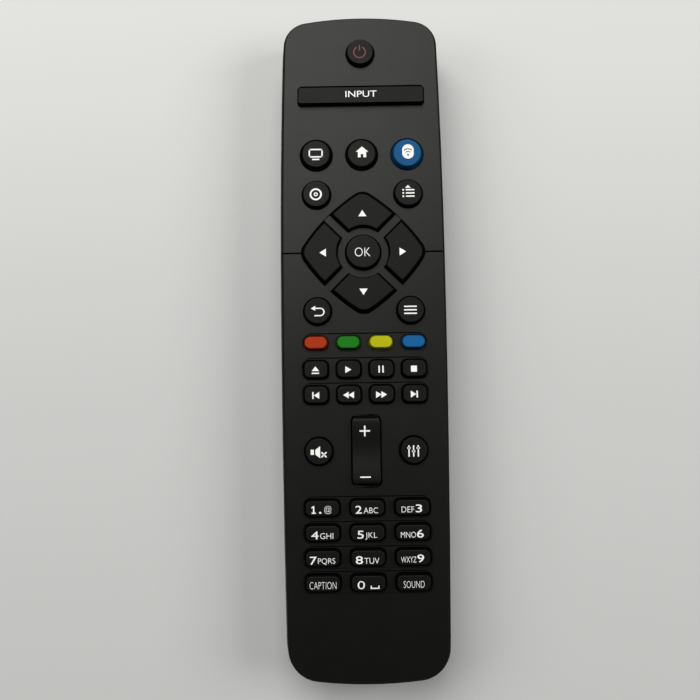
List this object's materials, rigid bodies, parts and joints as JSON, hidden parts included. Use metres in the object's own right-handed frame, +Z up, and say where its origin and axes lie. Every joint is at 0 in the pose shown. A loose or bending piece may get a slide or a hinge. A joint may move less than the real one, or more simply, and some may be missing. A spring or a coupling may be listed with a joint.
{
  "type": "home theater remote control",
  "caption": "Slim handheld remote control with a black face, round and slab keys, an arrow pad, a volume rocker and a sliding battery door underneath.",
  "frame": {"origin": "on the table, under the middle of the case", "axes": "+Y points to the head with the power key and the infrared window, +Z is up through the keys, +X is to the right of a reader who faces the head"},
  "size_m": [0.0516, 0.203, 0.0206],
  "materials": {
    "front_case": "satin, moulded",
    "rear_case": "fine spark texture",
    "key_black": "satin, with printed signs",
    "key_red": "satin",
    "key_green": "satin",
    "key_yellow": "satin",
    "key_blue": "satin",
    "key_wireless": "satin, with a printed sign",
    "board": "green solder mask",
    "mat": "moulded silicone",
    "window": "polished, dark tinted",
    "lamp": "clear, bluish",
    "chip": "moulded",
    "can": "drawn",
    "capacitor": "sleeved",
    "cell": "graphite jacket with a copper band",
    "contact": "nickel plated",
    "screw": "zinc plated"
  },
  "bodies": {
    "case": {"front_cover": "front_case", "rear_cover": "rear_case", "circuit_board": "board", "rubber_mat": "mat", "infrared_window": "window", "infrared_lamp": "lamp", "controller_chip": "chip", "resonator": "can", "capacitor": "capacitor", "battery_left": "cell", "battery_right": "cell", "battery_springs": "contact", "contact_bridge": "contact", "contact_tabs": "contact", "case_screws": "screw"},
    "battery_door": {"battery_door": "rear_case"},
    "volume_rocker": {"volume_rocker": "key_black"},
    "power_key": {"power_key": "key_black"},
    "tv_key": {"tv_key": "key_black"},
    "home_key": {"home_key": "key_black"},
    "wireless_key": {"wireless_key": "key_wireless"},
    "disc_menu_key": {"disc_menu_key": "key_black"},
    "top_menu_key": {"top_menu_key": "key_black"},
    "back_key": {"back_key": "key_black"},
    "options_key": {"options_key": "key_black"},
    "red_key": {"red_key": "key_red"},
    "green_key": {"green_key": "key_green"},
    "yellow_key": {"yellow_key": "key_yellow"},
    "blue_key": {"blue_key": "key_blue"},
    "eject_key": {"eject_key": "key_black"},
    "play_key": {"play_key": "key_black"},
    "pause_key": {"pause_key": "key_black"},
    "stop_key": {"stop_key": "key_black"},
    "previous_key": {"previous_key": "key_black"},
    "rewind_key": {"rewind_key": "key_black"},
    "forward_key": {"forward_key": "key_black"},
    "next_key": {"next_key": "key_black"},
    "mute_key": {"mute_key": "key_black"},
    "equaliser_key": {"equaliser_key": "key_black"},
    "number_1_key": {"number_1_key": "key_black"},
    "number_2_key": {"number_2_key": "key_black"},
    "number_3_key": {"number_3_key": "key_black"},
    "number_4_key": {"number_4_key": "key_black"},
    "number_5_key": {"number_5_key": "key_black"},
    "number_6_key": {"number_6_key": "key_black"},
    "number_7_key": {"number_7_key": "key_black"},
    "number_8_key": {"number_8_key": "key_black"},
    "number_9_key": {"number_9_key": "key_black"},
    "caption_key": {"caption_key": "key_black"},
    "number_0_key": {"number_0_key": "key_black"},
    "sound_key": {"sound_key": "key_black"},
    "arrow_right_key": {"arrow_right_key": "key_black"},
    "arrow_up_key": {"arrow_up_key": "key_black"},
    "arrow_left_key": {"arrow_left_key": "key_black"},
    "arrow_down_key": {"arrow_down_key": "key_black"},
    "ok_key": {"ok_key": "key_black"},
    "source_key": {"source_key": "key_black"}
  },
  "joints": [
    {"name": "volume_rocker_tilt", "type": "hinge", "parent": "case", "child": "volume_rocker", "pos_m": [0, -0.0339, 0.01617], "axis": [1, 0, 0], "range_deg": [-3.2, 3.2], "stiffness_Nm_per_rad": 0.09, "deforming": ["rubber_mat"]},
    {"name": "battery_door_slide", "type": "slide", "parent": "case", "child": "battery_door", "axis": [0, -1, 0], "range_m": [0, 0.078]},
    {"name": "source_key_press", "type": "slide", "parent": "case", "child": "source_key", "axis": [0, 0, -1], "range_m": [0, 0.0007], "stiffness_N_per_m": 800, "deforming": ["rubber_mat"]},
    {"name": "ok_key_press", "type": "slide", "parent": "case", "child": "ok_key", "axis": [0, 0, -1], "range_m": [0, 0.0007], "stiffness_N_per_m": 800, "deforming": ["rubber_mat"]},
    {"name": "arrow_up_key_press", "type": "slide", "parent": "case", "child": "arrow_up_key", "axis": [0, 0, -1], "range_m": [0, 0.0007], "stiffness_N_per_m": 800, "deforming": ["rubber_mat"]},
    {"name": "arrow_right_key_press", "type": "slide", "parent": "case", "child": "arrow_right_key", "axis": [0, 0, -1], "range_m": [0, 0.0007], "stiffness_N_per_m": 800, "deforming": ["rubber_mat"]},
    {"name": "arrow_down_key_press", "type": "slide", "parent": "case", "child": "arrow_down_key", "axis": [0, 0, -1], "range_m": [0, 0.0007], "stiffness_N_per_m": 800, "deforming": ["rubber_mat"]},
    {"name": "arrow_left_key_press", "type": "slide", "parent": "case", "child": "arrow_left_key", "axis": [0, 0, -1], "range_m": [0, 0.0007], "stiffness_N_per_m": 800, "deforming": ["rubber_mat"]},
    {"name": "power_key_press", "type": "slide", "parent": "case", "child": "power_key", "axis": [0, 0, -1], "range_m": [0, 0.0007], "stiffness_N_per_m": 800, "deforming": ["rubber_mat"]},
    {"name": "tv_key_press", "type": "slide", "parent": "case", "child": "tv_key", "axis": [0, 0, -1], "range_m": [0, 0.0007], "stiffness_N_per_m": 800, "deforming": ["rubber_mat"]},
    {"name": "home_key_press", "type": "slide", "parent": "case", "child": "home_key", "axis": [0, 0, -1], "range_m": [0, 0.0007], "stiffness_N_per_m": 800, "deforming": ["rubber_mat"]},
    {"name": "wireless_key_press", "type": "slide", "parent": "case", "child": "wireless_key", "axis": [0, 0, -1], "range_m": [0, 0.0007], "stiffness_N_per_m": 800, "deforming": ["rubber_mat"]},
    {"name": "disc_menu_key_press", "type": "slide", "parent": "case", "child": "disc_menu_key", "axis": [0, 0, -1], "range_m": [0, 0.0007], "stiffness_N_per_m": 800, "deforming": ["rubber_mat"]},
    {"name": "top_menu_key_press", "type": "slide", "parent": "case", "child": "top_menu_key", "axis": [0, 0, -1], "range_m": [0, 0.0007], "stiffness_N_per_m": 800, "deforming": ["rubber_mat"]},
    {"name": "back_key_press", "type": "slide", "parent": "case", "child": "back_key", "axis": [0, 0, -1], "range_m": [0, 0.0007], "stiffness_N_per_m": 800, "deforming": ["rubber_mat"]},
    {"name": "options_key_press", "type": "slide", "parent": "case", "child": "options_key", "axis": [0, 0, -1], "range_m": [0, 0.0007], "stiffness_N_per_m": 800, "deforming": ["rubber_mat"]},
    {"name": "red_key_press", "type": "slide", "parent": "case", "child": "red_key", "axis": [0, 0, -1], "range_m": [0, 0.0007], "stiffness_N_per_m": 800, "deforming": ["rubber_mat"]},
    {"name": "green_key_press", "type": "slide", "parent": "case", "child": "green_key", "axis": [0, 0, -1], "range_m": [0, 0.0007], "stiffness_N_per_m": 800, "deforming": ["rubber_mat"]},
    {"name": "yellow_key_press", "type": "slide", "parent": "case", "child": "yellow_key", "axis": [0, 0, -1], "range_m": [0, 0.0007], "stiffness_N_per_m": 800, "deforming": ["rubber_mat"]},
    {"name": "blue_key_press", "type": "slide", "parent": "case", "child": "blue_key", "axis": [0, 0, -1], "range_m": [0, 0.0007], "stiffness_N_per_m": 800, "deforming": ["rubber_mat"]},
    {"name": "eject_key_press", "type": "slide", "parent": "case", "child": "eject_key", "axis": [0, 0, -1], "range_m": [0, 0.0007], "stiffness_N_per_m": 800, "deforming": ["rubber_mat"]},
    {"name": "play_key_press", "type": "slide", "parent": "case", "child": "play_key", "axis": [0, 0, -1], "range_m": [0, 0.0007], "stiffness_N_per_m": 800, "deforming": ["rubber_mat"]},
    {"name": "pause_key_press", "type": "slide", "parent": "case", "child": "pause_key", "axis": [0, 0, -1], "range_m": [0, 0.0007], "stiffness_N_per_m": 800, "deforming": ["rubber_mat"]},
    {"name": "stop_key_press", "type": "slide", "parent": "case", "child": "stop_key", "axis": [0, 0, -1], "range_m": [0, 0.0007], "stiffness_N_per_m": 800, "deforming": ["rubber_mat"]},
    {"name": "previous_key_press", "type": "slide", "parent": "case", "child": "previous_key", "axis": [0, 0, -1], "range_m": [0, 0.0007], "stiffness_N_per_m": 800, "deforming": ["rubber_mat"]},
    {"name": "rewind_key_press", "type": "slide", "parent": "case", "child": "rewind_key", "axis": [0, 0, -1], "range_m": [0, 0.0007], "stiffness_N_per_m": 800, "deforming": ["rubber_mat"]},
    {"name": "forward_key_press", "type": "slide", "parent": "case", "child": "forward_key", "axis": [0, 0, -1], "range_m": [0, 0.0007], "stiffness_N_per_m": 800, "deforming": ["rubber_mat"]},
    {"name": "next_key_press", "type": "slide", "parent": "case", "child": "next_key", "axis": [0, 0, -1], "range_m": [0, 0.0007], "stiffness_N_per_m": 800, "deforming": ["rubber_mat"]},
    {"name": "mute_key_press", "type": "slide", "parent": "case", "child": "mute_key", "axis": [0, 0, -1], "range_m": [0, 0.0007], "stiffness_N_per_m": 800, "deforming": ["rubber_mat"]},
    {"name": "equaliser_key_press", "type": "slide", "parent": "case", "child": "equaliser_key", "axis": [0, 0, -1], "range_m": [0, 0.0007], "stiffness_N_per_m": 800, "deforming": ["rubber_mat"]},
    {"name": "number_1_key_press", "type": "slide", "parent": "case", "child": "number_1_key", "axis": [0, 0, -1], "range_m": [0, 0.0007], "stiffness_N_per_m": 800, "deforming": ["rubber_mat"]},
    {"name": "number_2_key_press", "type": "slide", "parent": "case", "child": "number_2_key", "axis": [0, 0, -1], "range_m": [0, 0.0007], "stiffness_N_per_m": 800, "deforming": ["rubber_mat"]},
    {"name": "number_3_key_press", "type": "slide", "parent": "case", "child": "number_3_key", "axis": [0, 0, -1], "range_m": [0, 0.0007], "stiffness_N_per_m": 800, "deforming": ["rubber_mat"]},
    {"name": "number_4_key_press", "type": "slide", "parent": "case", "child": "number_4_key", "axis": [0, 0, -1], "range_m": [0, 0.0007], "stiffness_N_per_m": 800, "deforming": ["rubber_mat"]},
    {"name": "number_5_key_press", "type": "slide", "parent": "case", "child": "number_5_key", "axis": [0, 0, -1], "range_m": [0, 0.0007], "stiffness_N_per_m": 800, "deforming": ["rubber_mat"]},
    {"name": "number_6_key_press", "type": "slide", "parent": "case", "child": "number_6_key", "axis": [0, 0, -1], "range_m": [0, 0.0007], "stiffness_N_per_m": 800, "deforming": ["rubber_mat"]},
    {"name": "number_7_key_press", "type": "slide", "parent": "case", "child": "number_7_key", "axis": [0, 0, -1], "range_m": [0, 0.0007], "stiffness_N_per_m": 800, "deforming": ["rubber_mat"]},
    {"name": "number_8_key_press", "type": "slide", "parent": "case", "child": "number_8_key", "axis": [0, 0, -1], "range_m": [0, 0.0007], "stiffness_N_per_m": 800, "deforming": ["rubber_mat"]},
    {"name": "number_9_key_press", "type": "slide", "parent": "case", "child": "number_9_key", "axis": [0, 0, -1], "range_m": [0, 0.0007], "stiffness_N_per_m": 800, "deforming": ["rubber_mat"]},
    {"name": "caption_key_press", "type": "slide", "parent": "case", "child": "caption_key", "axis": [0, 0, -1], "range_m": [0, 0.0007], "stiffness_N_per_m": 800, "deforming": ["rubber_mat"]},
    {"name": "number_0_key_press", "type": "slide", "parent": "case", "child": "number_0_key", "axis": [0, 0, -1], "range_m": [0, 0.0007], "stiffness_N_per_m": 800, "deforming": ["rubber_mat"]},
    {"name": "sound_key_press", "type": "slide", "parent": "case", "child": "sound_key", "axis": [0, 0, -1], "range_m": [0, 0.0007], "stiffness_N_per_m": 800, "deforming": ["rubber_mat"]}
  ]
}
